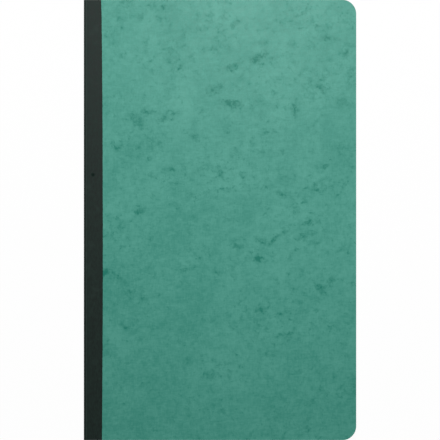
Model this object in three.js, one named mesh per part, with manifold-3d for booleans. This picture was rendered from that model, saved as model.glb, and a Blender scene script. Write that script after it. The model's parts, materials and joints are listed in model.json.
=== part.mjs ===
// A section-sewn register book with a cloth spine and flush-cut pressboard covers.
// It lies closed on its back cover. X runs from the spine to the fore-edge, Y from the tail
// to the head, and Z up through the book. The origin is under the middle of the back cover.
import * as THREE from 'three';
import { mergeVertices } from 'three/addons/utils/BufferGeometryUtils.js';
import Module from 'manifold-3d';

const wasm = await Module();
wasm.setup();

// Size of the closed book, in millimetres: foolscap format
const bookWidth = 204;
const bookHeight = 330;
const cornerRadius = 10.7;

// Covers and endpapers
const boardThickness = 1.0;
const pastedownThickness = 0.16;
const flyleafThickness = 0.16;
const pastedownInset = 0.8; // the pastedown starts this far inside the board's spine edge

// Cloth strip: how far it laps over each board at the head, at mid height and at the tail. It
// is one strip on the real book, cut here at its three folds, where the covers and halves turn.
const clothThickness = 0.35;
const clothLapHead = 12.9;
const clothLapMiddle = 14.2;
const clothLapTail = 13.5;
const clothRounding = 0.95; // outer radius where it turns from the cover down the spine

// Leaves: sections of folded sheets, the same number in front and behind the middle opening
const sectionsPerHalf = 3;
const leavesPerSection = 16;
const leafThickness = 0.11;
const foldRounding = 0.5; // how the back of a folded section is rounded
const leafStart = 1.4; // the loose middle leaf starts this far from the backs of the sections

// Lining and glue over the backs of the sections
const liningThickness = 0.25;
const glueSkin = 0.15; // glue between the threads and the lining

// Sewing: one running stitch in each section, through holes in its fold
const threadDiameter = 0.4;
const threadClearance = 0.15;
const outsideStitches = 4; // each one lies between two holes
const holeInset = 24; // from head and tail to the first hole
const threadTail = 7; // loose end inside the fold, past the last hole
const voidTaper = 3; // over which the leaves close up again beside the thread

// Air left between sheets that lie on each other, and the line of paste between glued ones
const paperAir = 0.05;
const glueLine = 0.05;
const cutClearance = 0.3; // between a cut edge and the piece that lies in the cut
const overrun = 1; // how far a cutting shape reaches past what it cuts

// Facets of the round stretches
const cornerSteps = 5;
const foldSteps = 3;
const threadSides = 4;
const holeSides = 6;

// Places along X
const spineOuter = -bookWidth / 2;
const foreEdge = bookWidth / 2;
const clothInner = spineOuter + clothThickness;
const liningOuter = clothInner + glueLine;
const liningInner = liningOuter + liningThickness;
const glueOuter = liningInner + glueLine;
const threadBed = threadDiameter + 2 * threadClearance;
const glueInner = glueOuter + glueSkin + threadBed;
const sectionBack = glueInner + glueLine;
const boardStart = liningOuter;

// Places along Z. A layer is measured from the outer face of its own cover.
const sectionThickness = leavesPerSection * leafThickness;
const sectionPitch = sectionThickness + paperAir;
const halfBlock = sectionsPerHalf * sectionPitch - paperAir / 2;
const clothBed = clothThickness + glueLine;
const pastedownDepth = boardThickness + glueLine;
const flyleafDepth = pastedownDepth + pastedownThickness + paperAir;
const blockDepth = flyleafDepth + flyleafThickness + paperAir;
const middleHeight = blockDepth + halfBlock;
const bookThickness = 2 * middleHeight;

// Through a section: the fold holds half of its leaves, and the thread runs just inside it
const foldThickness = (leavesPerSection / 2) * leafThickness;
const voidCentre = foldThickness + threadBed / 2;
const threadInside = sectionBack + voidCentre;
const threadOutside = glueInner - threadBed / 2;

const pressboard = new THREE.MeshStandardMaterial({ color: 0x4f9788, roughness: 0.55, metalness: 0 });
const bookcloth = new THREE.MeshStandardMaterial({ color: 0x29322d, roughness: 0.85, metalness: 0 });
const ledgerPaper = new THREE.MeshStandardMaterial({ color: 0xf0ebdc, roughness: 0.9, metalness: 0 });
const endpaper = new THREE.MeshStandardMaterial({ color: 0xe9e3d2, roughness: 0.9, metalness: 0 });
const mull = new THREE.MeshStandardMaterial({ color: 0xd8d1bd, roughness: 0.95, metalness: 0 });
const hideGlue = new THREE.MeshStandardMaterial({ color: 0xd9c79a, roughness: 0.45, metalness: 0 });
const linen = new THREE.MeshStandardMaterial({ color: 0xf3efe2, roughness: 0.8, metalness: 0 });

const book = new THREE.Group();

function addPiece(name, geometry, material, floor = 0) {
  const piece = new THREE.Mesh(geometry, material);
  piece.name = name;
  piece.position.z = floor;
  book.add(piece);
}

// A closed mesh as a solid that can be joined and cut
function toSolid(geometry) {
  const bare = geometry.clone();
  bare.deleteAttribute('normal');
  bare.deleteAttribute('uv');
  const merged = mergeVertices(bare, 1e-4);
  return new wasm.Manifold(new wasm.Mesh({
    numProp: 3,
    vertProperties: new Float32Array(merged.attributes.position.array),
    triVerts: new Uint32Array(merged.index.array),
  }));
}

function toGeometry(solid) {
  const mesh = solid.getMesh();
  const geometry = new THREE.BufferGeometry();
  geometry.setAttribute('position', new THREE.BufferAttribute(mesh.vertProperties, 3));
  geometry.setIndex(new THREE.BufferAttribute(mesh.triVerts, 1));
  geometry.computeVertexNormals();
  return geometry;
}

function subtractAll(solid, cutters) {
  return cutters.reduce((rest, cutter) => rest.subtract(cutter), solid);
}

function slab(outline, thickness, floor = 0) {
  const options = { depth: thickness, bevelEnabled: false, curveSegments: cornerSteps };
  return new THREE.ExtrudeGeometry(outline, options).translate(0, 0, floor);
}

function box(x0, x1, y0, y1, z0, z1) {
  const geometry = new THREE.BoxGeometry(x1 - x0, y1 - y0, z1 - z0);
  return geometry.translate((x0 + x1) / 2, (y0 + y1) / 2, (z0 + z1) / 2);
}

// A sheet as cut: square at the spine, with round corners at the fore-edge
function sheetOutline(left) {
  const top = bookHeight / 2;
  const outline = new THREE.Shape();
  outline.moveTo(left, -top);
  outline.lineTo(foreEdge - cornerRadius, -top);
  outline.absarc(foreEdge - cornerRadius, -top + cornerRadius, cornerRadius, -Math.PI / 2, 0, false);
  outline.lineTo(foreEdge, top - cornerRadius);
  outline.absarc(foreEdge - cornerRadius, top - cornerRadius, cornerRadius, 0, Math.PI / 2, false);
  outline.lineTo(left, top);
  outline.closePath();
  return outline;
}

// The lap of the cloth on a board, whose inner edge bows a little towards the fore-edge. It
// runs past the spine, the head and the tail, so it only cuts along the bowed edge.
function lapOutline(grow) {
  const top = bookHeight / 2;
  const left = spineOuter - overrun;
  const bow = 2 * clothLapMiddle - (clothLapHead + clothLapTail) / 2;
  const outline = new THREE.Shape();
  outline.moveTo(left, -top - overrun);
  outline.lineTo(spineOuter + clothLapTail + grow, -top - overrun);
  outline.lineTo(spineOuter + clothLapTail + grow, -top);
  outline.quadraticCurveTo(spineOuter + bow + grow, 0, spineOuter + clothLapHead + grow, top);
  outline.lineTo(spineOuter + clothLapHead + grow, top + overrun);
  outline.lineTo(left, top + overrun);
  outline.closePath();
  return outline;
}

// The lower face of a layer that lies depth inside the outer face of the front or back cover
function layerFloor(side, depth, thickness) {
  return side === 'front' ? bookThickness - depth - thickness : depth;
}

// Height of a point that lies depth inside the outer face of the front or back cover
function faceHeight(side, depth) {
  return side === 'front' ? bookThickness - depth : depth;
}

// A bar along Y, as long as the book, from the X and Z of its corners
function bar(corners, extra = 0) {
  const options = { depth: bookHeight + 2 * extra, bevelEnabled: false, curveSegments: foldSteps };
  const outline = Array.isArray(corners) ? new THREE.Shape(corners) : corners;
  const geometry = new THREE.ExtrudeGeometry(outline, options).rotateX(Math.PI / 2);
  return geometry.translate(0, bookHeight / 2 + extra, 0);
}

// The quarter circle that the cloth follows over the spine edge of a cover, from the face down
function spineArc(side, radius) {
  const steps = 2 * foldSteps;
  return Array.from({ length: steps + 1 }, (_, k) => {
    const angle = (Math.PI / 2) * (k / steps);
    const x = spineOuter + clothRounding - radius * Math.sin(angle);
    return new THREE.Vector2(x, faceHeight(side, clothRounding - radius * Math.cos(angle)));
  });
}

// The cloth on a cover: its lap, turned down over the spine edge of the board to the fold
function coverCloth(side) {
  const reach = spineOuter + 2 * clothLapMiddle;
  const fold = blockDepth - paperAir;
  const profile = bar([
    new THREE.Vector2(reach, faceHeight(side, 0)),
    ...spineArc(side, clothRounding),
    new THREE.Vector2(spineOuter, faceHeight(side, fold)),
    new THREE.Vector2(clothInner, faceHeight(side, fold)),
    ...spineArc(side, clothRounding - clothThickness).reverse(),
    new THREE.Vector2(reach, faceHeight(side, clothThickness)),
  ]);
  const lap = slab(lapOutline(0), bookThickness);
  return toGeometry(toSolid(profile).intersect(toSolid(lap)));
}

// The board's spine edge is rounded under the cloth, and its face is pressed down for the lap
function coverBoard(side) {
  const bedThickness = clothBed + overrun;
  const bed = slab(lapOutline(cutClearance), bedThickness, layerFloor(side, -overrun, bedThickness));
  const corner = bar([
    ...spineArc(side, clothRounding - clothBed),
    new THREE.Vector2(boardStart - overrun, faceHeight(side, clothRounding)),
    new THREE.Vector2(boardStart - overrun, faceHeight(side, -overrun)),
    new THREE.Vector2(spineOuter + clothRounding, faceHeight(side, -overrun)),
  ], overrun);
  const blank = slab(sheetOutline(boardStart), boardThickness, layerFloor(side, 0, boardThickness));
  return toGeometry(subtractAll(toSolid(blank), [toSolid(bed), toSolid(corner)]));
}

// Front and back cover: board with a bed for the cloth, cloth, pastedown, then the flyleaf
function makeCover(side) {
  addPiece(`${side}_board`, coverBoard(side), pressboard);
  addPiece(`${side}_cover_cloth`, coverCloth(side), bookcloth);

  const pastedown = slab(sheetOutline(boardStart + pastedownInset), pastedownThickness);
  addPiece(`${side}_pastedown`, pastedown, endpaper, layerFloor(side, pastedownDepth, pastedownThickness));

  const flyleaf = slab(sheetOutline(sectionBack), flyleafThickness);
  addPiece(`${side}_flyleaf`, flyleaf, endpaper, layerFloor(side, flyleafDepth, flyleafThickness));
}

// Spine layers over one half of the block: cloth, lining, and glue with beds for the threads
function makeSpineHalf(side) {
  const top = bookHeight / 2;
  const floor = layerFloor(side, blockDepth, halfBlock);
  const cloth = box(spineOuter, clothInner, -top, top, 0, halfBlock);
  addPiece(`${side}_spine_cloth`, cloth, bookcloth, floor);

  const lining = box(liningOuter, liningInner, -top, top, 0, halfBlock);
  addPiece(`${side}_spine_lining`, lining, mull, floor);

  const beds = [];
  for (let n = 1; n <= 2 * sectionsPerHalf; n += 1) {
    const centre = sectionFloor(n) + sectionThickness / 2;
    if ((centre > middleHeight) !== (side === 'front')) continue;
    for (const [from, to] of outsideRuns()) {
      const reach = threadBed / 2;
      const bed = box(glueInner - threadBed, sectionBack, from - reach, to + reach, centre - reach, centre + reach);
      beds.push(toSolid(bed));
    }
  }
  const glue = toSolid(box(glueOuter, glueInner, -top, top, floor, floor + halfBlock));
  addPiece(`${side}_spine_glue`, toGeometry(subtractAll(glue, beds)), hideGlue);
}

// Sections are numbered from the front cover, so the first one lies highest
function sectionFloor(n) {
  return middleHeight + paperAir / 2 + (sectionsPerHalf - n) * sectionPitch;
}

// Y of each hole in the fold, from tail to head
function holePlaces() {
  const span = bookHeight - 2 * holeInset;
  const last = 2 * outsideStitches - 1;
  return Array.from({ length: last + 1 }, (_, k) => -span / 2 + (span * k) / last);
}

// The thread comes out at every other hole and goes in again at the next
function outsideRuns() {
  const holes = holePlaces();
  const runs = [];
  for (let k = 0; k + 1 < holes.length; k += 2) {
    runs.push([holes[k], holes[k + 1]]);
  }
  return runs;
}

function insideRuns() {
  const holes = holePlaces();
  const runs = [[holes[0] - threadTail, holes[0]]];
  for (let k = 1; k + 1 < holes.length; k += 2) {
    runs.push([holes[k], holes[k + 1]]);
  }
  const last = holes[holes.length - 1];
  runs.push([last, last + threadTail]);
  return runs;
}

// The folded section seen from its tail: two arms of leaves, joined at the rounded back, with
// room for the thread inside the fold. It is drawn in X and Z and runs the height of the book.
function foldedBar() {
  const length = foreEdge - sectionBack;
  const half = sectionThickness / 2;
  const slit = paperAir / 2;
  const voidRadius = threadBed / 2;
  const taperEnd = voidCentre + voidTaper;
  const profile = new THREE.Shape();
  profile.moveTo(foldRounding, 0);
  profile.lineTo(length, 0);
  profile.lineTo(length, half - slit);
  profile.lineTo(taperEnd, half - slit);
  profile.lineTo(voidCentre, half - voidRadius);
  profile.absarc(voidCentre, half, voidRadius, -Math.PI / 2, Math.PI / 2, true);
  profile.lineTo(taperEnd, half + slit);
  profile.lineTo(length, half + slit);
  profile.lineTo(length, sectionThickness);
  profile.lineTo(foldRounding, sectionThickness);
  profile.absarc(foldRounding, sectionThickness - foldRounding, foldRounding, Math.PI / 2, Math.PI, false);
  profile.lineTo(0, foldRounding);
  profile.absarc(foldRounding, foldRounding, foldRounding, Math.PI, 1.5 * Math.PI, false);
  return bar(profile).translate(sectionBack, 0, 0);
}

function makeSection(n) {
  const outline = toSolid(slab(sheetOutline(sectionBack), sectionThickness));
  const cutters = holePlaces().map((y) => {
    const length = foldThickness + threadBed;
    const hole = new THREE.CylinderGeometry(threadBed / 2, threadBed / 2, length, holeSides);
    hole.rotateZ(Math.PI / 2).translate(sectionBack - threadBed / 2 + length / 2, y, sectionThickness / 2);
    return toSolid(hole);
  });
  if (n === sectionsPerHalf) {
    const room = slab(sheetOutline(sectionBack + leafStart - cutClearance), leafThickness + 2 * paperAir);
    room.translate(0, 0, -paperAir);
    cutters.push(toSolid(room));
  }
  const section = subtractAll(outline.intersect(toSolid(foldedBar())), cutters);
  addPiece(`section_${n}`, toGeometry(section), ledgerPaper, sectionFloor(n));
}

// A round run of thread between two points in the plane of the fold
function threadRun(x0, y0, x1, y1) {
  const along = Math.hypot(x1 - x0, y1 - y0) + threadDiameter;
  const radius = threadDiameter / 2;
  const run = new THREE.CylinderGeometry(radius, radius, along, threadSides);
  run.rotateZ(Math.atan2(y1 - y0, x1 - x0) - Math.PI / 2);
  return toSolid(run.translate((x0 + x1) / 2, (y0 + y1) / 2, 0));
}

function makeThread(n) {
  const runs = [
    ...insideRuns().map(([from, to]) => threadRun(threadInside, from, threadInside, to)),
    ...outsideRuns().map(([from, to]) => threadRun(threadOutside, from, threadOutside, to)),
    ...holePlaces().map((y) => threadRun(threadOutside, y, threadInside, y)),
  ];
  const thread = runs.reduce((whole, run) => whole.add(run));
  addPiece(`thread_${n}`, toGeometry(thread), linen, sectionFloor(n) + sectionThickness / 2);
}

makeCover('front');
makeSpineHalf('front');
for (let n = 1; n <= 2 * sectionsPerHalf; n += 1) {
  makeSection(n);
  makeThread(n);
}
// The loose leaf at the middle opening is the rear outer leaf of the last section in front of it
const middleLeaf = slab(sheetOutline(sectionBack + leafStart), leafThickness);
addPiece('middle_leaf', middleLeaf, ledgerPaper, middleHeight + paperAir / 2);
makeSpineHalf('back');
makeCover('back');

export default book;
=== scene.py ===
import json
import math
import random

import bmesh
import bpy
from mathutils import Matrix, Vector


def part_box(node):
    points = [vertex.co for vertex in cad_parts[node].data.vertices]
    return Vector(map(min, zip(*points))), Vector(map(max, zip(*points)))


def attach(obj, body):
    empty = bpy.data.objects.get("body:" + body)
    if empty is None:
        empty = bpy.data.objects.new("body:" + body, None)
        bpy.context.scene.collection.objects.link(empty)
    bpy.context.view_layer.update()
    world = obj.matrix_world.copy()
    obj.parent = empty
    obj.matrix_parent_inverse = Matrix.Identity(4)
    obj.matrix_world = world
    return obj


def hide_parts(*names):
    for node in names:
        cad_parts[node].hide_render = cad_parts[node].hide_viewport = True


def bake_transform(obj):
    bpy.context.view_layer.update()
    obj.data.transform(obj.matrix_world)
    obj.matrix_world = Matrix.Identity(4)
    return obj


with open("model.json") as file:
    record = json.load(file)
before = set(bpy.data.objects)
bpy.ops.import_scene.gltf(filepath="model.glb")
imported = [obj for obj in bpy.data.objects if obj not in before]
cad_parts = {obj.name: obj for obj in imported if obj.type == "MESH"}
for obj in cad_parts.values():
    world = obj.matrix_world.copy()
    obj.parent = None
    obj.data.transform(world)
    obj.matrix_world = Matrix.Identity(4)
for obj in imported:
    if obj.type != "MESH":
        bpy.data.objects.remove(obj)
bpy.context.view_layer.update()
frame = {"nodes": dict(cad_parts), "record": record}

mm = 0.001
tiny = 1e-7  # two places closer than this, in metres, are the same
scene = bpy.context.scene
random.seed(7)

# The book lies closed on its back cover: spine at low X, head at high Y, front cover on top
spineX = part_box("front_cover_cloth")[0].x
boardLow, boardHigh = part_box("front_board")
foreX = boardHigh.x
tailY = boardLow.y
headY = boardHigh.y
topZ = boardHigh.z
bookHeight = headY - tailY
middleY = (headY + tailY) / 2
middleZ = topZ / 2
boardThickness = boardHigh.z - boardLow.z
cornerRadius = 10.7 * mm
clothProud = 0.12 * mm  # how far the cloth stands over the face of a board
blockOf = {"front": "front_block", "back": "rear_block"}
sectionsOf = {"front": (1, 2, 3), "back": (4, 5, 6)}
outwardOf = {"front": 1, "back": -1}  # the way that a cover faces, along Z
print("frame loaded:", len(frame["nodes"]), "nodes")


# Shader maths

class Wire:
    # an output socket that plain sums can be written with
    def __init__(self, surface, socket):
        self.surface = surface
        self.socket = socket

    def __add__(self, other):
        return self.surface.maths("ADD", self, other)

    def __radd__(self, other):
        return self.surface.maths("ADD", other, self)

    def __sub__(self, other):
        return self.surface.maths("SUBTRACT", self, other)

    def __rsub__(self, other):
        return self.surface.maths("SUBTRACT", other, self)

    def __mul__(self, other):
        return self.surface.maths("MULTIPLY", self, other)

    def __rmul__(self, other):
        return self.surface.maths("MULTIPLY", other, self)

    def __abs__(self):
        return self.surface.maths("ABSOLUTE", self, 0.0)


class Surface:
    # the nodes of a new material, or those of a world where one is given
    def __init__(self, name, world=None):
        self.material = world or bpy.data.materials.new(name)
        self.material.use_nodes = True
        self.tree = self.material.node_tree
        self.tree.nodes.clear()
        kind = "World" if world else "Material"
        self.output = self.tree.nodes.new("ShaderNodeOutput" + kind)
        if not world:
            self.place = self.add("ShaderNodeTexCoord", {}, {}, "Object")

    def add(self, kind, settings, sockets, out=0):
        node = self.tree.nodes.new(kind)
        for key, value in settings.items():
            setattr(node, key, value)
        for key, value in sockets.items():
            if isinstance(value, Wire):
                self.tree.links.new(value.socket, node.inputs[key])
            elif isinstance(value, tuple) and len(value) == 3 and node.inputs[key].type == "RGBA":
                node.inputs[key].default_value = (*value, 1.0)
            else:
                node.inputs[key].default_value = value
        return Wire(self, node.outputs[out])

    def maths(self, operation, first, second):
        return self.add("ShaderNodeMath", {"operation": operation}, {0: first, 1: second})

    def most(self, first, second):
        return self.maths("MAXIMUM", first, second)

    def above(self, value, level):
        return self.maths("GREATER_THAN", value, level)

    def below(self, value, level):
        return self.maths("LESS_THAN", value, level)

    def wave(self, angle):
        return self.maths("SINE", angle, 0.0)

    def clamp(self, value):
        return self.add("ShaderNodeClamp", {}, {"Value": value})

    # the part of a pattern above a start, made steeper by a slope and softer at its foot by a power
    def peaks(self, pattern, start, slope, power):
        return self.maths("POWER", self.clamp((pattern - start) * slope), power)

    # a soft step from none at low to one at high
    def between(self, value, low, high):
        sockets = {"Value": value, "From Min": low, "From Max": high}
        return self.add("ShaderNodeMapRange", {"interpolation_type": "SMOOTHSTEP"}, sockets)

    def mixColour(self, share, first, second):
        return self.add("ShaderNodeMix", {"data_type": "RGBA"}, {0: share, 6: first, 7: second}, 2)

    # the pattern's place for marks that are longer along some axes, turned about Z in degrees
    def stretched(self, lengths, turn=0.0):
        sockets = {"Vector": self.place, "Scale": lengths, "Rotation": (0.0, 0.0, math.radians(turn))}
        return self.add("ShaderNodeMapping", {"vector_type": "TEXTURE"}, sockets)

    # soft noise whose features are about size across
    def noise(self, size, detail=2.0, roughness=0.5, distortion=0.0, place=None):
        sockets = {"Vector": place or self.place, "Scale": 1.0 / size, "Detail": detail}
        sockets |= {"Roughness": roughness, "Distortion": distortion}
        return self.add("ShaderNodeTexNoise", {"noise_dimensions": "3D"}, sockets)

    def axis(self, name):
        return self.add("ShaderNodeSeparateXYZ", {}, {"Vector": self.place}, name)

    # one where a face looks straight up or down, none where it stands upright
    def levelness(self):
        normal = self.add("ShaderNodeTexCoord", {}, {}, "Normal")
        return abs(self.add("ShaderNodeSeparateXYZ", {}, {"Vector": normal}, "Z"))

    def bump(self, height, distance, strength):
        sockets = {"Height": height, "Distance": distance, "Strength": strength}
        return self.add("ShaderNodeBump", {}, sockets)

    # one for rays from the camera and from glossy or clear surfaces, none for the light itself
    def whiteWhereSeen(self):
        kinds = ("Camera", "Glossy", "Transmission")
        rays = [self.add("ShaderNodeLightPath", {}, {}, f"Is {kind} Ray") for kind in kinds]
        return self.clamp(rays[0] + rays[1] + rays[2])

    def show(self, shader):
        self.tree.links.new(shader.socket, self.output.inputs["Surface"])

    def finish(self, sockets):
        self.show(self.add("ShaderNodeBsdfPrincipled", {}, sockets))
        return self.material


# Finishes

pressboardLook = {
    "deep": (0.0370, 0.2295, 0.1750),
    "pale": (0.0710, 0.2990, 0.2355),
    "smudge": (0.0060, 0.156, 0.111),
    # colour of the cut edges, darkened as painted shade so that their rounded rims don't light up
    "edge": (0.0200, 0.180, 0.135),
    "cloud": 32 * mm,  # sizes of the patterns, from the broadest to the finest
    "drift": 26 * mm,  # how far apart the loose bands of smudges lie
    "patch": 9 * mm,
    "smudgeSize": 5.2 * mm,
    "flock": 3.2 * mm,
    "ragged": 2.42 * mm,
    "speckSize": 2.3 * mm,
    "emboss": 1.6 * mm,
    "grain": 1.1 * mm,
    "lean": 14.0,  # degrees that bands and flocks are turned by
    "bandStretch": (1.7, 1.0, 1.0),
    "flockStretch": (1.6, 1.0, 1.0),
    "grainStretch": 3.0,
    "towardsHead": 0.35,  # the smudges lie thicker towards the head
    "cloudShare": 1.4,  # strengths of the patterns in the tone
    "patchShare": 0.9,
    "grainShare": 1.7,
    "bandInSmudges": 0.34,  # how much one pattern brings out another
    "bandInSpecks": 0.24,
    "smudgeInSpecks": 0.4,
    "markLift": 0.1,
    "smudges": {"start": 0.0, "slope": 2.7, "power": 1.6},
    "specks": {"start": 0.055, "slope": 3.2, "power": 1.5},
    "speckShare": 0.75,
    "markDarkness": 0.5,  # of a placed mark, before specks and smudges break it up
    "speckInMarks": 1.1,
    "smudgeInMarks": 0.7,
    "markPush": 2.4,  # how far noise pushes the outline of a placed mark, in half widths
    "markCore": 0.2,  # where a placed mark starts to fade, in half widths
    "markRim": 1.9,  # and where it has faded out
    "cutLevel": (0.35, 0.95),  # how level a face is, from a bare cut edge to a finished face
    "rimShadeShare": 0.85,
    "edgeDull": 0.3,
    "roughness": 0.485,
    "grainDull": 0.25,
    "smudgeDull": 0.05,
    "gloss": 0.20,
    "embossShares": (0.5, 0.6, 0.5),  # of the patches, the grain and the emboss
    "bump": {"distance": 0.03 * mm, "strength": 0.5},
}

# The larger dark marks of the front cover, in millimetres and degrees:
# place across, place up, half length, half width, turn, darkness
coverMarks = [
    (28, 121, 6, 2.5, 20, 1.1), (11, 115, 8, 2.5, 25, 0.6), (8, 87, 6, 2.5, -10, 1.4),
    (-86, -39, 5, 2, 20, 1.5), (-75, -44, 5, 2, -40, 0.9), (-5, 98, 6, 3, 20, 1.1),
    (29, -29, 3, 2.5, 0, 1.3), (74, 100, 7, 4, -30, 0.4), (80, 136, 7, 2, -5, 0.9),
    (76, -52, 3, 3, 0, 1.2), (-38, 78, 7, 2.5, 25, 0.9), (-63, 76, 4, 2.5, -40, 0.7),
    (92, 88, 5, 3, -10, 0.9), (-37, 37, 5, 2.5, -10, 0.7), (56, 83, 4, 2.5, 65, 0.6),
    (29, -69, 3, 3, 0, 0.6), (-54, 81, 4, 1.5, 0, 1.0), (43, -13, 6, 1.5, 40, 0.5),
    (32, -16, 5, 2, -25, 0.9), (-60, 6, 2.5, 2, 20, 1.0), (0, 36, 3, 2.5, 40, 0.3),
    (46, 19, 4, 1.5, -30, 1.2), (72, 24, 3, 1.5, -60, 1.1), (-78, 54, 4, 2, -45, 0.7),
    (66, -2, 3, 1.5, 20, 0.8), (79, 40, 2.5, 1.5, 30, 0.6), (83, -45, 3, 1.5, 60, 0.5),
    (-3, -39, 4, 1.5, -25, 0.7), (-25, -37, 5, 1.5, 10, 0.6), (29, -106, 3, 1.5, 0, 0.5),
    (-57, -123, 3, 1.5, 20, 0.5), (-73, -79, 3, 1.5, -40, 0.8), (-20, 62, 6, 1.5, -35, 0.7),
    (11, -19, 3, 1.5, 0, 0.7), (-86, 92, 4, 1, 0, 0.7), (48, 52, 3, 1.5, 40, 0.6),
    (37, 25, 3, 1.5, 0, 0.7), (94, 124, 3, 2, 60, 0.7), (14, 148, 4, 1.5, 20, 0.6),
    (73, 145, 3, 1.5, 20, 0.6), (-30, 114, 3, 1.5, 60, 0.6), (-53, -35, 3, 1.5, 60, 0.5),
]


# a soft oval around a place, with its outline pushed about by noise
def ovalMark(s, mark, push):
    x, y, length, width, turn, darkness = mark
    sockets = {"Vector": s.place, "Location": (x * mm, y * mm, topZ)}
    sockets |= {"Rotation": (0.0, 0.0, math.radians(turn)), "Scale": (length * mm, width * mm, 1.0)}
    inside = s.add("ShaderNodeMapping", {"vector_type": "TEXTURE"}, sockets)
    reach = s.add("ShaderNodeVectorMath", {"operation": "LENGTH"}, {0: inside}, "Value")
    faded = s.between(reach + push, pressboardLook["markCore"], pressboardLook["markRim"])
    return (1.0 - faded) * darkness


# all the placed marks as one pattern, on the front half of the book only
def placedMarks(s):
    ragged = s.noise(pressboardLook["ragged"], detail=3.0, roughness=0.6) - 0.5
    push = ragged * pressboardLook["markPush"]
    marks = ovalMark(s, coverMarks[0], push)
    for mark in coverMarks[1:]:
        marks = s.most(marks, ovalMark(s, mark, push))
    return marks * s.above(s.axis("Z"), middleZ)


def makePressboard():
    look = pressboardLook
    s = Surface("mottled pressboard")
    cloud = s.noise(look["cloud"], distortion=0.3) - 0.5
    patch = s.noise(look["patch"], detail=3.0, roughness=0.6, distortion=0.3)
    leaning = s.stretched(look["flockStretch"], look["lean"])
    flock = s.noise(look["flock"], roughness=0.6, distortion=0.3, place=leaning) - 0.5
    leaning = s.stretched(look["bandStretch"], look["lean"])
    drift = s.noise(look["drift"], roughness=0.6, distortion=0.6, place=leaning) - 0.5
    drift = drift + s.axis("Y") * look["towardsHead"]
    smudge = s.noise(look["smudgeSize"], detail=4.0, roughness=0.6, distortion=0.3) - 0.5
    speck = s.noise(look["speckSize"], roughness=0.6, distortion=0.2) - 0.5
    along = s.noise(look["grain"], detail=1.0, place=s.stretched((look["grainStretch"], 1.0, 1.0)))
    across = s.noise(look["grain"], detail=1.0, place=s.stretched((1.0, look["grainStretch"], 1.0)))
    grain = (along + across) * 0.5 - 0.5
    marks = placedMarks(s)
    lift = marks * look["markLift"]
    smudges = s.peaks(smudge + drift * look["bandInSmudges"] + lift, **look["smudges"])
    specks = speck + drift * look["bandInSpecks"] + lift + smudge * look["smudgeInSpecks"]
    specks = s.peaks(specks, **look["specks"])
    broken = look["markDarkness"] + speck * look["speckInMarks"] + smudge * look["smudgeInMarks"]
    dark = smudges + specks * look["speckShare"] + marks * broken
    tone = 0.5 + cloud * look["cloudShare"] + (patch - 0.5) * look["patchShare"]
    tone = tone + flock + grain * look["grainShare"]
    colour = s.mixColour(s.clamp(tone), look["deep"], look["pale"])
    colour = s.mixColour(s.clamp(dark), colour, look["smudge"])
    # painted shade: the cut edges and their rounded rims take the darker edge colour
    cut = 1.0 - s.between(s.levelness(), *look["cutLevel"])
    colour = s.mixColour(cut * look["rimShadeShare"], colour, look["edge"])
    dull = grain * look["grainDull"] + smudges * look["smudgeDull"] + cut * look["edgeDull"]
    ofPatch, ofGrain, ofEmboss = look["embossShares"]
    relief = patch * ofPatch + grain * ofGrain + s.noise(look["emboss"]) * ofEmboss
    return s.finish({
        "Base Color": colour,
        "Roughness": s.clamp(look["roughness"] + dull),
        "Specular IOR Level": look["gloss"],
        "Normal": s.bump(relief, **look["bump"]),
    })


clothLook = {
    "thread": (0.0074, 0.0166, 0.0130),
    # the dark between the yarns, also used for the fleck and for the lines of painted shade along the
    # fold
    "gap": (0.0020, 0.0058, 0.0044),
    # rubbed wear in patches, also used for a line of painted highlight along the fold
    "wearAndHighlight": (0.016, 0.030, 0.025),
    "pitch": 0.42 * mm,  # from one yarn to the next but one
    "slub": 3 * mm,  # over which the yarns wander
    "slubPush": 1.6,  # and how far, in radians of the weave's wave
    "streak": 0.9 * mm,
    "streakStretch": (1.0, 3.0, 1.0),
    "bar": 0.8 * mm,
    "barStretch": (10.0, 1.0, 1.0),
    "weaveShare": 0.4,  # strengths of the patterns in the tone
    "streakShare": 1.8,
    "barShare": 0.4,
    "rub": 9 * mm,
    "rubLevel": (0.52, 0.75),  # of its noise, from untouched to worn
    "rubShare": 0.35,
    "fleckPlace": (-95.2 * mm, 33.9 * mm, topZ + clothProud),
    "fleckRadius": 1.9 * mm,
    "fleckCore": 0.4,  # share of the radius where the fleck starts to fade
    "fleckRagged": 0.9 * mm,
    "fleckShare": 0.85,
    "lineCore": 0.1 * mm,
    "lineWidth": 0.45 * mm,
    "lineStreaks": 1.5,  # how much the streaks break a line up
    # how far the lines of painted shade turn metallic, so that they lose their shine
    "creaseShadeMetal": 0.7,
    "roughness": 0.52,
    "streakDull": 0.3,
    "gloss": 0.11,
    "streakRelief": 0.6,
    "bump": {"distance": 0.03 * mm, "strength": 0.7},
}

# Painted shade and highlight lines along the spine's edge of the cloth: distance from the spine's
# face, tint and strength
paintedFoldShading = (
    (1.25 * mm, "gap", 0.75),  # painted shade where the cloth rounds down over the edge
    (2.05 * mm, "wearAndHighlight", 0.75),  # a painted highlight along the top of the turned edge
    (2.85 * mm, "gap", 0.3),  # a second, fainter line of painted shade
)


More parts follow.
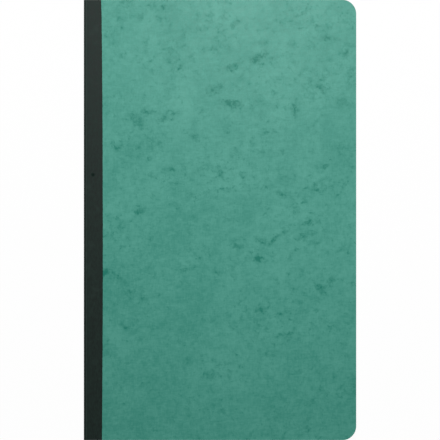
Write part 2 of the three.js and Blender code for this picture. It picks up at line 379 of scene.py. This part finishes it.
def makeCloth():
    look = clothLook
    s = Surface("dark bookcloth")
    turns = 2 * math.pi / look["pitch"]
    slub = s.noise(look["slub"]) * look["slubPush"]
    warp = s.wave((s.axis("X") + s.axis("Z")) * turns + slub)
    weft = s.wave(s.axis("Y") * turns + slub)
    over = warp * weft * 0.5 + 0.5
    streak = s.noise(look["streak"], detail=1.0, place=s.stretched(look["streakStretch"])) - 0.5
    bars = s.noise(look["bar"], place=s.stretched(look["barStretch"])) - 0.5
    yarn = 0.5 + (over - 0.5) * look["weaveShare"]
    yarn = yarn + streak * look["streakShare"] + bars * look["barShare"]
    colour = s.mixColour(s.clamp(yarn), look["gap"], look["thread"])
    rub = s.noise(look["rub"], detail=4.0, roughness=0.6, distortion=0.3)
    rub = s.between(rub, *look["rubLevel"]) * look["rubShare"]
    colour = s.mixColour(rub, colour, look["wearAndHighlight"])
    places = {0: s.place, 1: look["fleckPlace"]}
    reach = s.add("ShaderNodeVectorMath", {"operation": "DISTANCE"}, places, "Value")
    reach = reach + (s.noise(look["fleckRagged"]) - 0.5) * look["fleckRagged"]
    core = look["fleckCore"] * look["fleckRadius"]
    fleck = (1.0 - s.between(reach, core, look["fleckRadius"])) * look["fleckShare"]
    colour = s.mixColour(fleck, colour, look["gap"])
    dull = fleck
    # painted shade and a painted highlight in lines along the fold; the dark lines also lose their
    # shine
    for inset, tint, strength in paintedFoldShading:
        fromLine = abs(s.axis("X") - (spineX + inset))
        line = 1.0 - s.between(fromLine, look["lineCore"], look["lineWidth"])
        line = s.clamp(line * (strength + streak * look["lineStreaks"]))
        colour = s.mixColour(line, colour, look[tint])
        if tint == "gap":
            dull = s.most(dull, line * look["creaseShadeMetal"])
    return s.finish({
        "Base Color": colour,
        "Roughness": s.clamp(look["roughness"] + streak * look["streakDull"]),
        "Metallic": dull,  # near black and without a shine: painted shade in the dark fold lines, and the fleck
        "Specular IOR Level": look["gloss"],
        "Normal": s.bump(over + streak * look["streakRelief"], **look["bump"]),
    })


paperLook = {
    "leaf": (0.83, 0.79, 0.68),
    "leafShade": (0.74, 0.69, 0.57),
    "end": (0.80, 0.755, 0.64),
    "endShade": (0.71, 0.655, 0.53),
    "line": (0.36, 0.47, 0.58),
    "marginLine": (0.62, 0.24, 0.22),
    "fibre": 0.5 * mm,
    "fibreShare": 0.35,
    "cloud": 14 * mm,
    "cloudShare": 0.35,
    "sheetEdge": 0.34 * mm,  # the streaks that the trimmed leaves make along the block's edges
    "sheetStretch": (250.0, 250.0, 1.0),
    "sheetShare": 0.8,
    "flatLevel": (0.6, 0.9),  # how level a face is, from a trimmed edge to the face of a leaf
    "linePitch": 8 * mm,
    "lineWidth": 0.28 * mm,
    "lineFade": (0.3, 0.75),  # where a feint line starts and ends to fade, in widths from its middle
    "marginFade": (0.35, 0.85),
    "headMargin": 26 * mm,
    "tailMargin": 14 * mm,
    "marginPlace": 30 * mm,
    "inkBreaks": 1.1 * mm,
    "ink": 0.65,  # strength of the ink in its gaps
    "inkMore": 0.5,  # and how much stronger it gets between them
    "lineShare": 0.75,
    "marginShare": 0.8,
    "seamDepth": 0.04 * mm,  # how far the outer side of a fold takes the colour of the spine
    "roughness": 0.82,
    "fibreDull": 0.2,
    "gloss": 0.3,
    "reliefShares": (0.5, 0.3),  # of the fibres and the clouds
    "bump": {"distance": 0.02 * mm, "strength": 0.4},
}


# how much of a printed line covers a place, from how far away its middle is
def inkLine(s, distance, fade):
    core, rim = [paperLook["lineWidth"] * share for share in fade]
    return 1.0 - s.between(distance, core, rim)


# Paper with fibres and faint clouds; a ledger leaf also has feint lines and a margin line
def makePaper(name, base, shade, ruled):
    look = paperLook
    s = Surface(name)
    fibres = s.noise(look["fibre"], detail=3.0, roughness=0.6, distortion=0.3)
    cloud = s.noise(look["cloud"], detail=3.0, roughness=0.55)
    sheets = s.noise(look["sheetEdge"], roughness=0.6, place=s.stretched(look["sheetStretch"]))
    flat = s.between(s.levelness(), *look["flatLevel"])
    tone = fibres * look["fibreShare"] + cloud * look["cloudShare"]
    tone = tone + sheets * (1.0 - flat) * look["sheetShare"]
    colour = s.mixColour(s.clamp(tone), base, shade)
    if ruled:
        ink = flat * (look["ink"] + s.noise(look["inkBreaks"]) * look["inkMore"])
        fromLine = s.maths("PINGPONG", s.axis("Y"), look["linePitch"] / 2)
        ruling = s.below(s.axis("Y"), headY - look["headMargin"])
        ruling = ruling * s.above(s.axis("Y"), tailY + look["tailMargin"])
        ruling = ruling * inkLine(s, fromLine, look["lineFade"]) * ink
        colour = s.mixColour(s.clamp(ruling * look["lineShare"]), colour, look["line"])
        fromMargin = abs(s.axis("X") - (spineX + look["marginPlace"]))
        margin = inkLine(s, fromMargin, look["marginFade"]) * ink
        colour = s.mixColour(s.clamp(margin * look["marginShare"]), colour, look["marginLine"])
    # the fold strips mark their outer side, which shows in the spine and passes for its cloth
    outerSide = s.add("ShaderNodeAttribute", {"attribute_name": "outerSide"}, {}, "Fac")
    seam = outerSide * s.below(abs(s.axis("X") - spineX), look["seamDepth"])
    colour = s.mixColour(seam, colour, clothLook["thread"])
    ofFibres, ofCloud = look["reliefShares"]
    return s.finish({
        "Base Color": colour,
        "Roughness": s.clamp(look["roughness"] + (fibres - 0.5) * look["fibreDull"]),
        "Specular IOR Level": look["gloss"],
        "Normal": s.bump(fibres * ofFibres + cloud * ofCloud, **look["bump"]),
    })


mullLook = {
    "hole": (0.42, 0.37, 0.26),
    "yarn": (0.70, 0.66, 0.55),
    "pitch": 0.9 * mm,
    "weaveShare": 0.7,
    "cloud": 2 * mm,
    "cloudShare": 0.3,
    "roughness": 0.9,
    "bump": {"distance": 0.06 * mm, "strength": 0.8},
}


def makeMull():
    look = mullLook
    s = Surface("cotton spine lining")
    turns = 2 * math.pi / look["pitch"]
    weave = s.most(s.wave(s.axis("Y") * turns), s.wave(s.axis("Z") * turns)) * 0.5 + 0.5
    tone = weave * look["weaveShare"] + s.noise(look["cloud"]) * look["cloudShare"]
    return s.finish({
        "Base Color": s.mixColour(s.clamp(tone), look["hole"], look["yarn"]),
        "Roughness": look["roughness"],
        "Normal": s.bump(weave, **look["bump"]),
    })


glueLook = {
    "thick": (0.50, 0.36, 0.16),
    "thin": (0.70, 0.58, 0.34),
    "brushMark": 1.5 * mm,
    "brushStretch": (1.0, 10.0, 1.0),
    "thinLevel": (0.3, 0.7),  # of the brush marks, from thick to thin
    "roughness": 0.3,
    "brushDull": 0.3,
    "bump": {"distance": 0.1 * mm, "strength": 0.6},
}


def makeGlue():
    look = glueLook
    s = Surface("dried binding glue")
    brushed = s.noise(look["brushMark"], detail=3.0, place=s.stretched(look["brushStretch"]))
    thinness = s.between(brushed, *look["thinLevel"])
    return s.finish({
        "Base Color": s.mixColour(thinness, look["thick"], look["thin"]),
        "Roughness": s.clamp(look["roughness"] + brushed * look["brushDull"]),
        "Normal": s.bump(brushed, **look["bump"]),
    })


threadLook = {
    "hollow": (0.62, 0.56, 0.42),
    "ply": (0.86, 0.82, 0.70),
    "twistPitch": 0.5 * mm,
    "twistShare": 0.7,
    "fibre": 0.4 * mm,
    "fibreShare": 0.3,
    "roughness": 0.6,
    "bump": {"distance": 0.04 * mm, "strength": 0.7},
}


def makeThreadFinish():
    look = threadLook
    s = Surface("waxed linen thread")
    along = s.axis("Y") + s.axis("X") + s.axis("Z")
    twist = s.clamp(s.wave(along * (2 * math.pi / look["twistPitch"])) * 0.5 + 0.5)
    tone = twist * look["twistShare"] + s.noise(look["fibre"]) * look["fibreShare"]
    return s.finish({
        "Base Color": s.mixColour(tone, look["hollow"], look["ply"]),
        "Roughness": look["roughness"],
        "Normal": s.bump(twist, **look["bump"]),
    })


finishes = {
    "pressboard": makePressboard(),
    "bookcloth": makeCloth(),
    "ledger_paper": makePaper("ledger paper", paperLook["leaf"], paperLook["leafShade"], True),
    "endpaper": makePaper("endpaper", paperLook["end"], paperLook["endShade"], False),
    "mull": makeMull(),
    "glue": makeGlue(),
    "sewing_thread": makeThreadFinish(),
}
print("finishes made:", len(finishes))


# Pieces

def addObject(name, data):
    added = bpy.data.objects.new(name, data)
    scene.collection.objects.link(added)
    return added


# crease is the angle in degrees over which an edge between two faces stays sharp
def addPiece(bm, name, finish, crease=8.0):
    mesh = bpy.data.meshes.new(name)
    bmesh.ops.remove_doubles(bm, verts=bm.verts, dist=tiny)
    bmesh.ops.recalc_face_normals(bm, faces=bm.faces)
    for face in bm.faces:
        face.smooth = True
    bm.to_mesh(mesh)
    bm.free()
    mesh.set_sharp_from_angle(angle=math.radians(crease))
    mesh.materials.append(finishes[finish])
    piece = addObject(name, mesh)
    return piece


# those of a list of vertices, edges and faces that are of one kind
def only(kind, geometry):
    return [item for item in geometry if isinstance(item, kind)]


# adds a mesh that is being built to another one, and frees it
def joinInto(bm, part):
    scrap = bpy.data.meshes.new("scrap")
    part.to_mesh(scrap)
    part.free()
    bm.from_mesh(scrap)
    bpy.data.meshes.remove(scrap)


# a block between two corners, as the start of a sheet or a board
def startBlock(bm, low, high):
    bmesh.ops.create_cube(bm, size=1.0)
    size = Vector(high) - Vector(low)
    centre = (Vector(high) + Vector(low)) / 2
    bmesh.ops.scale(bm, vec=size, verts=bm.verts)
    bmesh.ops.translate(bm, vec=centre, verts=bm.verts)


# a level square, one metre wide, as the start of a cloth
def startGrid(bm, columns, rows):
    bmesh.ops.create_grid(bm, x_segments=columns, y_segments=rows, size=0.5)


# turns an open end through a quarter circle about a line along Y, and returns the new end
def turnEnd(bm, end, centre, steps, way=1):
    turned = bmesh.ops.spin(bm, geom=end, cent=centre, axis=(0, -way, 0), dvec=(0, 0, 0),
                            angle=math.pi / 2, steps=steps, use_duplicate=False)
    return turned["geom_last"]


def roundEdges(bm, edges, radius, segments):
    bmesh.ops.bevel(bm, geom=edges, offset=radius, segments=segments,
                    affect="EDGES", profile=0.5, material=-1)


def middleOf(edge):
    return (edge.verts[0].co + edge.verts[1].co) / 2


def isUpright(edge):
    along = edge.verts[0].co - edge.verts[1].co
    return abs(along.z) > 0.9 * along.length


# the two corners at the fore-edge, cut round
def roundCorners(bm, segments):
    corners = [e for e in bm.edges if isUpright(e) and middleOf(e).x > foreX - cornerRadius]
    roundEdges(bm, corners, cornerRadius, segments)


board = {
    "start": 0.25 * mm,  # from the spine's outer face, under the cloth
    "spineRound": 0.35 * mm,  # follows the inside of the turned cloth
    "spineSegments": 8,
    "cornerSegments": 20,
    "faceRound": 0.15 * mm,  # rolled edge of the outer face, left by the trimming knife
    "faceSegments": 4,
    "innerRound": 0.1 * mm,
    "innerSegments": 2,
    "wallTilt": 0.01,  # largest Z of the normal of a side wall
    "faceTilt": 0.05,  # smallest Z of the normal of a face that looks up or down
}


# whether a face is in one of the three cut side walls, all but the wall at the spine
def isCutWall(face):
    looksToSpine = face.normal.x <= -0.5
    return abs(face.normal.z) < board["wallTilt"] and not looksToSpine


# edges where the cut side walls meet the faces that look up (1) or down (-1)
def rimEdges(bm, toward):
    rim = []
    for edge in bm.edges:
        walls = [f for f in edge.link_faces if isCutWall(f)]
        others = [f for f in edge.link_faces if f.normal.z * toward > board["faceTilt"]]
        if walls and others:
            rim.append(edge)
    return rim


def makeBoard(side):
    lowZ, highZ = (topZ - boardThickness, topZ) if side == "front" else (0.0, boardThickness)
    outerZ = highZ if side == "front" else lowZ
    startX = spineX + board["start"]
    bm = bmesh.new()
    startBlock(bm, (startX, tailY, lowZ), (foreX, headY, highZ))
    roundCorners(bm, board["cornerSegments"])
    outerEdges = [e for e in bm.edges if all(abs(v.co.z - outerZ) < tiny for v in e.verts)]
    spineEdges = [e for e in outerEdges if middleOf(e).x < startX + tiny]
    roundEdges(bm, spineEdges, board["spineRound"], board["spineSegments"])
    rims = (
        (outwardOf[side], board["faceRound"], board["faceSegments"]),
        (-outwardOf[side], board["innerRound"], board["innerSegments"]),
    )
    for toward, radius, segments in rims:
        bm.normal_update()
        roundEdges(bm, rimEdges(bm, toward), radius, segments)
    piece = addPiece(bm, side + "_board_dressed", "pressboard")
    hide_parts(side + "_board")
    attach(piece, side + "_cover")


cloth = {
    "thickness": 0.20 * mm,
    "rounding": 0.5 * mm,
    "lapHead": 13.3 * mm,
    "lapMiddle": 14.28 * mm,
    "lapTail": 13.65 * mm,
    "headPinch": 0.4 * mm,  # how much narrower the lap gets right at the head
    "pinchLength": 8 * mm,  # how far down from the head that is felt
    "fray": 0.05 * mm,
    "columns": 3,
    "spineColumns": 6,
    "rows": 60,
    "arcSteps": 14,
    "crease": 25.0,
}
middleGap = {"front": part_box("section_3")[0].z, "back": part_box("section_4")[1].z}


# how far the cloth laps over the cover at a height on the book
def lapAt(y):
    down = (headY - y) / bookHeight
    bow = cloth["lapMiddle"] - (cloth["lapHead"] + cloth["lapTail"]) / 2
    straight = cloth["lapHead"] * (1 - down) + cloth["lapTail"] * down
    pinch = cloth["headPinch"] * math.exp(-(headY - y) / cloth["pinchLength"])
    return straight + 4 * bow * down * (1 - down) - pinch


# the cloth on one cover: lap, rounding over the board's edge, and down to the fold
def makeCoverCloth(side):
    outward = outwardOf[side]
    face = (topZ if side == "front" else 0.0) + outward * clothProud
    radius = cloth["rounding"]
    left = spineX + radius
    length = cloth["lapMiddle"] - radius
    bm = bmesh.new()
    startGrid(bm, cloth["columns"], cloth["rows"])
    bmesh.ops.scale(bm, vec=(length, bookHeight, 1.0), verts=bm.verts)
    bmesh.ops.translate(bm, vec=(left + length / 2, middleY, face), verts=bm.verts)
    for v in bm.verts:
        share = (v.co.x - left) / length
        atEnd = share > 0.99
        wobble = random.uniform(-1, 1) * cloth["fray"] if atEnd else 0.0
        v.co.x = left + share * (lapAt(v.co.y) - radius) + wobble
    spineSide = [e for e in bm.edges if all(abs(v.co.x - left) < tiny for v in e.verts)]
    turned = turnEnd(bm, spineSide, (left, 0, face - outward * radius), cloth["arcSteps"], outward)
    last = only(bmesh.types.BMEdge, turned)
    pulled = bmesh.ops.extrude_edge_only(bm, edges=last)["geom"]
    clothLow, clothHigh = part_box(side + "_cover_cloth")
    for v in only(bmesh.types.BMVert, pulled):
        v.co.z = clothLow.z if side == "front" else clothHigh.z
    bmesh.ops.recalc_face_normals(bm, faces=bm.faces)
    outerFace = max(bm.faces, key=lambda f: outward * f.calc_center_median().z)
    if outerFace.normal.z * outward < 0:
        bmesh.ops.reverse_faces(bm, faces=bm.faces)
    bmesh.ops.solidify(bm, geom=bm.faces, thickness=cloth["thickness"])
    piece = addPiece(bm, side + "_cover_cloth_dressed", "bookcloth", cloth["crease"])
    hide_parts(side + "_cover_cloth")
    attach(piece, side + "_cover")


# Cloth and lining over one half of the spine, a sheet each, which end at the middle fold
def makeSpineLayer(side, layer, finish):
    node = f"{side}_spine_{layer}"
    low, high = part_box(node)
    middle = middleGap[side]
    lowZ, highZ = (middle, high.z) if side == "front" else (low.z, middle)
    thickness = min(high.x - low.x, cloth["thickness"])
    standing = Matrix.Rotation(-math.pi / 2, 3, "Y")
    bm = bmesh.new()
    startGrid(bm, cloth["spineColumns"], cloth["rows"])
    bmesh.ops.rotate(bm, verts=bm.verts, cent=(0, 0, 0), matrix=standing)
    bmesh.ops.scale(bm, vec=(1.0, bookHeight, highZ - lowZ), verts=bm.verts)
    bmesh.ops.translate(bm, vec=(low.x, middleY, (lowZ + highZ) / 2), verts=bm.verts)
    if next(iter(bm.faces)).normal.x > 0:
        bmesh.ops.reverse_faces(bm, faces=bm.faces)
    bmesh.ops.solidify(bm, geom=bm.faces, thickness=thickness)
    piece = addPiece(bm, node + "_dressed", finish)
    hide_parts(node)
    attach(piece, blockOf[side])


section = {
    "sheets": 8,
    "sheetThickness": 0.104 * mm,
    "backRound": 0.5 * mm,  # outer rounding of the fold, less for the sheets inside it
    "leastRound": 1.15,  # rounding of the innermost folds, in thicknesses of a sheet
    "turnSteps": 3,
    "cornerSegments": 10,
    "knifeSlip": 0.035 * mm,  # how unevenly the leaves come out at the trimmed edges
    "looseIn": 3,  # the middle leaf is the rear outer leaf of this section
    "stub": 1.0 * mm,  # what that section keeps of the middle leaf beside the fold
    "crease": 30.0,
}


# draws the open end of a sheet on by a step, and returns the new end
def drawEnd(bm, end, step):
    drawn = bmesh.ops.extrude_face_region(bm, geom=end)["geom"]
    bmesh.ops.delete(bm, geom=end, context="FACES_ONLY")
    bmesh.ops.translate(bm, vec=step, verts=only(bmesh.types.BMVert, drawn))
    return only(bmesh.types.BMFace, drawn)


# one folded sheet: a leaf, the fold at its back, and the other leaf or a stub of it
def foldSheet(bm, foldX, lowZ, highZ, depth, cutShort):
    thickness = section["sheetThickness"]
    radius = max(section["backRound"] - depth, thickness * section["leastRound"])
    radius = min(radius, (highZ - lowZ) / 2)
    slip = Vector((random.uniform(-1, 0), random.uniform(-1, 1), 0.0)) * section["knifeSlip"]
    turnX = foldX + radius
    steps = section["turnSteps"]
    part = bmesh.new()
    startBlock(part, (turnX, tailY, highZ - thickness), (foreX, headY, highZ))
    end = [min(part.faces, key=lambda f: f.calc_center_median().x)]
    end = only(bmesh.types.BMFace, turnEnd(part, end, (turnX, 0, highZ - radius), steps))
    if highZ - lowZ - 2 * radius > tiny:
        end = drawEnd(part, end, (0, 0, lowZ - highZ + 2 * radius))
    end = only(bmesh.types.BMFace, turnEnd(part, end, (turnX, 0, lowZ + radius), steps))
    drawEnd(part, end, (section["stub"] if cutShort else foreX - turnX, 0, 0))
    roundCorners(part, section["cornerSegments"])
    bmesh.ops.translate(part, vec=slip, verts=part.verts)
    joinInto(bm, part)


def makeSection(number, side):
    node = f"section_{number}"
    low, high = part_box(node)
    pitch = (high.z - low.z) / (2 * section["sheets"])
    bm = bmesh.new()
    for k in range(section["sheets"]):
        depth = k * pitch
        cutShort = number == section["looseIn"] and k == 0
        foldSheet(bm, low.x + depth, low.z + depth, high.z - depth, depth, cutShort)
    piece = addPiece(bm, node + "_sheets", "ledger_paper", section["crease"])
    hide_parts(node)
    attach(piece, blockOf[side])


sewing = {
    "outsideStitches": 4,
    "holeInset": 24 * mm,  # from head and tail to the first hole
    "tailEnd": 7 * mm,  # loose end inside the fold
    "turnRadius": 0.35 * mm,
    "turnShare": 0.45,  # of a short run, the most that a turn takes up
    "roundness": 2,
    "crease": 40.0,
}


# the corners that the running stitch of a section takes through its holes
def stitchRoute(inside, outside):
    span = bookHeight - 2 * sewing["holeInset"]
    holes = 2 * sewing["outsideStitches"]
    route = [(inside, -span / 2 - sewing["tailEnd"])]
    for k in range(holes):
        y = -span / 2 + span * k / (holes - 1)
        route += [(inside, y), (outside, y)] if k % 2 == 0 else [(outside, y), (inside, y)]
    route.append((inside, span / 2 + sewing["tailEnd"]))
    return route


# the same route with a short slant at each corner, as a pulled thread turns
def slackCorners(route):
    points = [route[0]]
    for before, corner, after in zip(route, route[1:], route[2:]):
        for other in (before, after):
            away = Vector(other) - Vector(corner)
            share = min(sewing["turnShare"], sewing["turnRadius"] / away.length)
            points.append(tuple(Vector(corner) + away * share))
    points.append(route[-1])
    return points


def makeThread(number, side):
    node = f"thread_{number}"
    low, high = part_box(node)
    radius = (high.z - low.z) / 2
    points = slackCorners(stitchRoute(high.x - radius, low.x + radius))
    line = bpy.data.curves.new(node, "CURVE")
    line.dimensions = "3D"
    line.bevel_depth = radius
    line.bevel_resolution = sewing["roundness"]
    line.use_fill_caps = True
    spline = line.splines.new("POLY")
    spline.points.add(len(points) - 1)
    for point, (x, y) in zip(spline.points, points):
        point.co = (x, y, (low.z + high.z) / 2, 1.0)
    drawn = bpy.data.objects.new(node + " line", line)
    mesh = bpy.data.meshes.new_from_object(drawn)
    bpy.data.objects.remove(drawn)
    bm = bmesh.new()
    bm.from_mesh(mesh)
    bpy.data.meshes.remove(mesh)
    piece = addPiece(bm, node + "_round", "sewing_thread", sewing["crease"])
    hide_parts(node)
    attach(piece, blockOf[side])


glueFill = {
    "valleyHeight": 0.42 * mm,  # of a ridge, up and down from the middle of its valley
    "valleyDepth": 0.45 * mm,
    "overlap": 0.05 * mm,  # how far a ridge starts inside the layer of glue
    "crease": 30.0,
}


# the glue over one half of the block, with a ridge pressed into each valley between sections
def makeGlueFill(side):
    node = side + "_spine_glue"
    low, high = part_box(node)
    if side == "front":
        low.z = middleGap[side]
    else:
        high.z = middleGap[side]
    levels = [low.z, high.z]
    for upper, lower in zip(sectionsOf[side], sectionsOf[side][1:]):
        levels.append((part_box(f"section_{upper}")[0].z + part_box(f"section_{lower}")[1].z) / 2)
    startX, tipX = high.x - glueFill["overlap"], high.x + glueFill["valleyDepth"]
    bm = bmesh.new()
    startBlock(bm, low, high)
    for level in levels:
        bottom = max(low.z, level - glueFill["valleyHeight"])
        top = min(high.z, level + glueFill["valleyHeight"])
        ridge = bmesh.new()
        startBlock(ridge, (startX, tailY, bottom), (tipX, headY, top))
        for v in ridge.verts:
            if v.co.x > high.x:
                v.co.z = level
        bmesh.ops.remove_doubles(ridge, verts=ridge.verts, dist=tiny)
        joinInto(bm, ridge)
    piece = addPiece(bm, node + "_filled", "glue", glueFill["crease"])
    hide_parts(node)
    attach(piece, blockOf[side])


foldStrip = {
    "proud": 0.01 * mm,  # how far the fold stands out past the face of the spine
    "thickness": 0.002 * mm,
    "steps": 8,
    "rows": 12,
    "plies": (0.006 * mm, 0.019 * mm, 0.031 * mm, 0.044 * mm),  # levels in the gap beside a hinge
    "stillShare": 0.6,  # share of the fold's radius, set in at each side from the plies
    "crease": 40.0,
}


# Paper that runs on through a fold between two bodies, drawn from its far end on one body round
# the fold to its far end on the other. The plies lie one over the other in the gap between the
# bodies, and what lies beyond the gap may climb to the sheet that it belongs to.
def makeFoldStrip(name, plies, mirrored, finish):
    (near, nearRun), (far, farRun) = plies
    radius = (far - near) / 2
    centreX = spineX - foldStrip["proud"] + radius
    centreZ = near + radius
    profile = list(reversed(nearRun)) + [(centreX, near)]
    for k in range(1, foldStrip["steps"]):
        turn = math.pi * k / foldStrip["steps"]
        profile.append((centreX - radius * math.sin(turn), centreZ - radius * math.cos(turn)))
    profile += [(centreX, far)] + farRun
    bm = bmesh.new()
    verts = [bm.verts.new((x, tailY, z)) for x, z in profile]
    edges = [bm.edges.new(pair) for pair in zip(verts, verts[1:])]
    step = (0, bookHeight / foldStrip["rows"], 0)
    for row in range(foldStrip["rows"]):
        drawn = bmesh.ops.extrude_edge_only(bm, edges=edges)["geom"]
        bmesh.ops.translate(bm, vec=step, verts=only(bmesh.types.BMVert, drawn))
        edges = only(bmesh.types.BMEdge, drawn)
    bmesh.ops.recalc_face_normals(bm, faces=bm.faces)
    bmesh.ops.solidify(bm, geom=bm.faces, thickness=foldStrip["thickness"])
    bmesh.ops.recalc_face_normals(bm, faces=bm.faces)
    outerSide = bm.faces.layers.float.new("outerSide")  # the paper's finish reads it
    for face in bm.faces:
        away = face.calc_center_median() - Vector((centreX, 0, centreZ))
        face[outerSide] = 1.0 if face.normal.x * away.x + face.normal.z * away.z > 0 else 0.0
    still = radius * foldStrip["stillShare"]
    start, end = near + still, far - still
    if mirrored:
        bmesh.ops.scale(bm, vec=(1, 1, -1), verts=bm.verts)
        bmesh.ops.translate(bm, vec=(0, 0, topZ), verts=bm.verts)
        start, end = topZ - start, topZ - end
    piece = addPiece(bm, name, finish, foldStrip["crease"])
    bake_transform(piece)


middleFolds = {
    "onRear": 2.2 * mm,  # from the spine to where the lowest ply ends
    "beforeLeaf": 0.15 * mm,  # from the leaf's edge back to where the second ply starts to climb
    "intoLeaf": 0.05 * mm,  # from the leaf's edge on to where it ends, inside the leaf
    "leafEnd": 0.2 * mm,  # from the leaf's edge back to the ends of the third and fourth plies
    "frontEnd": 0.4 * mm,
}


# the folds on either side of the middle leaf
def joinMiddleLeaf():
    run = middleFolds
    low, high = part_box("middle_leaf")
    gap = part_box("section_4")[1].z
    first, second, third, fourth = [gap + ply for ply in foldStrip["plies"]]
    intoLeaf = (low.x + run["intoLeaf"], (low.z + high.z) / 2)
    makeFoldStrip("middle_fold_rear", (
        (first, [(spineX + run["onRear"], first)]),
        (second, [(low.x - run["beforeLeaf"], second), intoLeaf]),
    ), False, "ledger_paper")
    makeFoldStrip("middle_fold_front", (
        (third, [(low.x - run["leafEnd"], third)]),
        (fourth, [(low.x - run["frontEnd"], fourth)]),
    ), False, "ledger_paper")


endpaperFolds = {
    "onBlock": 0.6 * mm,  # from the flyleaf's edge on to where the lowest ply ends
    "beforeLeaf": 0.3 * mm,  # from its edge back to where the second ply starts to climb
    "intoLeaf": 0.03 * mm,  # and on to where that ply ends, inside the flyleaf
    "leafEnd": 0.35 * mm,  # from its edge back to the end of the third ply
    "coverStart": 0.4 * mm,  # and to where the fourth starts to climb to the pastedown
    "coverTop": 0.12 * mm,  # and to where it gets there
    "onCover": 0.6 * mm,  # from its edge on to where the fourth ply ends
    "underPastedown": 0.006 * mm,
}


# the folds on either side of a flyleaf, worked out at the front and mirrored for the back
def joinFlyleaf(side, mirrored):
    run = endpaperFolds
    low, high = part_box("front_flyleaf")
    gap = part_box("section_1")[1].z
    first, second, third, fourth = [gap + ply for ply in foldStrip["plies"]]
    intoLeaf = (low.x + run["intoLeaf"], (low.z + high.z) / 2)
    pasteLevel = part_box("front_pastedown")[0].z - run["underPastedown"]
    toPastedown = [(low.x - run["coverStart"], fourth), (low.x - run["coverTop"], pasteLevel),
                   (low.x + run["onCover"], pasteLevel)]
    makeFoldStrip(side + "_flyleaf_fold", (
        (first, [(low.x + run["onBlock"], first)]),
        (second, [(low.x - run["beforeLeaf"], second), intoLeaf]),
    ), mirrored, "endpaper")
    makeFoldStrip(side + "_endpaper_fold", (
        (third, [(low.x - run["leafEnd"], third)]),
        (fourth, toPastedown),
    ), mirrored, "endpaper")


for side in ("front", "back"):
    makeBoard(side)
    makeCoverCloth(side)
    makeSpineLayer(side, "cloth", "bookcloth")
    makeSpineLayer(side, "lining", "mull")
    makeGlueFill(side)
print("covers and cloth made")

for side in ("front", "back"):
    for number in sectionsOf[side]:
        makeSection(number, side)
        makeThread(number, side)
print("sections sewn")

joinMiddleLeaf()
joinFlyleaf("front", False)
joinFlyleaf("back", True)
print("folds joined")

slots = {row["node"]: row["material_slot"] for row in frame["record"]["subparts"]}
for name, node in frame["nodes"].items():
    node.data.materials.clear()
    node.data.materials.append(finishes[slots[name]])
print("remaining pieces finished")


# Floor, light and camera

white = (1.0, 1.0, 1.0)
studio = {
    "floorSize": 4.0,
    "floorShade": 0.86,
    "floorGap": 0.05 * mm,  # below the cloth that the book lies on
    "whiteShare": 0.96,  # how much of the floor that the camera sees is plain white
    "worldLevel": 0.12,
    "lampPlace": (0.02, 0.43, 0.85),
    "lampAim": (0.0, 0.095, 0.0),
    "lampSize": (0.32, 0.28),
    "lampPower": 9.1,
    "lens": 100.0,
    "pixelSize": 0.7488 * mm,
    "imageSize": 440,
    "clipEnd": 10.0,
}


def makeFloor():
    bm = bmesh.new()
    bmesh.ops.create_grid(bm, x_segments=1, y_segments=1, size=studio["floorSize"] / 2)
    bmesh.ops.translate(bm, vec=(0, 0, -clothProud - studio["floorGap"]), verts=bm.verts)
    mesh = bpy.data.meshes.new("floor")
    bm.to_mesh(mesh)
    bm.free()
    s = Surface("pale floor")
    shade = studio["floorShade"]
    paint = s.add("ShaderNodeBsdfDiffuse", {}, {"Color": (shade, shade, shade)})
    glow = s.add("ShaderNodeEmission", {}, {"Color": white, "Strength": 1.0})
    share = s.whiteWhereSeen() * studio["whiteShare"]
    s.show(s.add("ShaderNodeMixShader", {}, {0: share, 1: paint, 2: glow}))
    mesh.materials.append(s.material)
    addObject("floor", mesh)


def makeWorld():
    world = bpy.data.worlds.new("studio")
    scene.world = world
    s = Surface("", world)
    strength = studio["worldLevel"] + s.whiteWhereSeen() * (1.0 - studio["worldLevel"])
    s.show(s.add("ShaderNodeBackground", {}, {"Color": white, "Strength": strength}))


def makeLamp():
    light = bpy.data.lights.new("soft box", "AREA")
    light.shape = "RECTANGLE"
    light.size, light.size_y = studio["lampSize"]
    light.energy = studio["lampPower"]
    lamp = addObject("soft box", light)
    lamp.location = studio["lampPlace"]
    aim = Vector(studio["lampAim"]) - lamp.location
    lamp.rotation_mode = "QUATERNION"
    lamp.rotation_quaternion = aim.to_track_quat("-Z", "Y")


def makeCamera():
    optics = bpy.data.cameras.new("camera")
    optics.lens = studio["lens"]
    optics.clip_end = studio["clipEnd"]
    seenHeight = studio["pixelSize"] * studio["imageSize"]
    distance = seenHeight * optics.lens / optics.sensor_width
    camera = addObject("camera", optics)
    camera.location = (0.0, 0.0, topZ + distance)
    scene.camera = camera


makeFloor()
makeWorld()
makeLamp()
makeCamera()
scene.view_settings.view_transform = "Standard"
print("studio made")

bpy.context.view_layer.update()
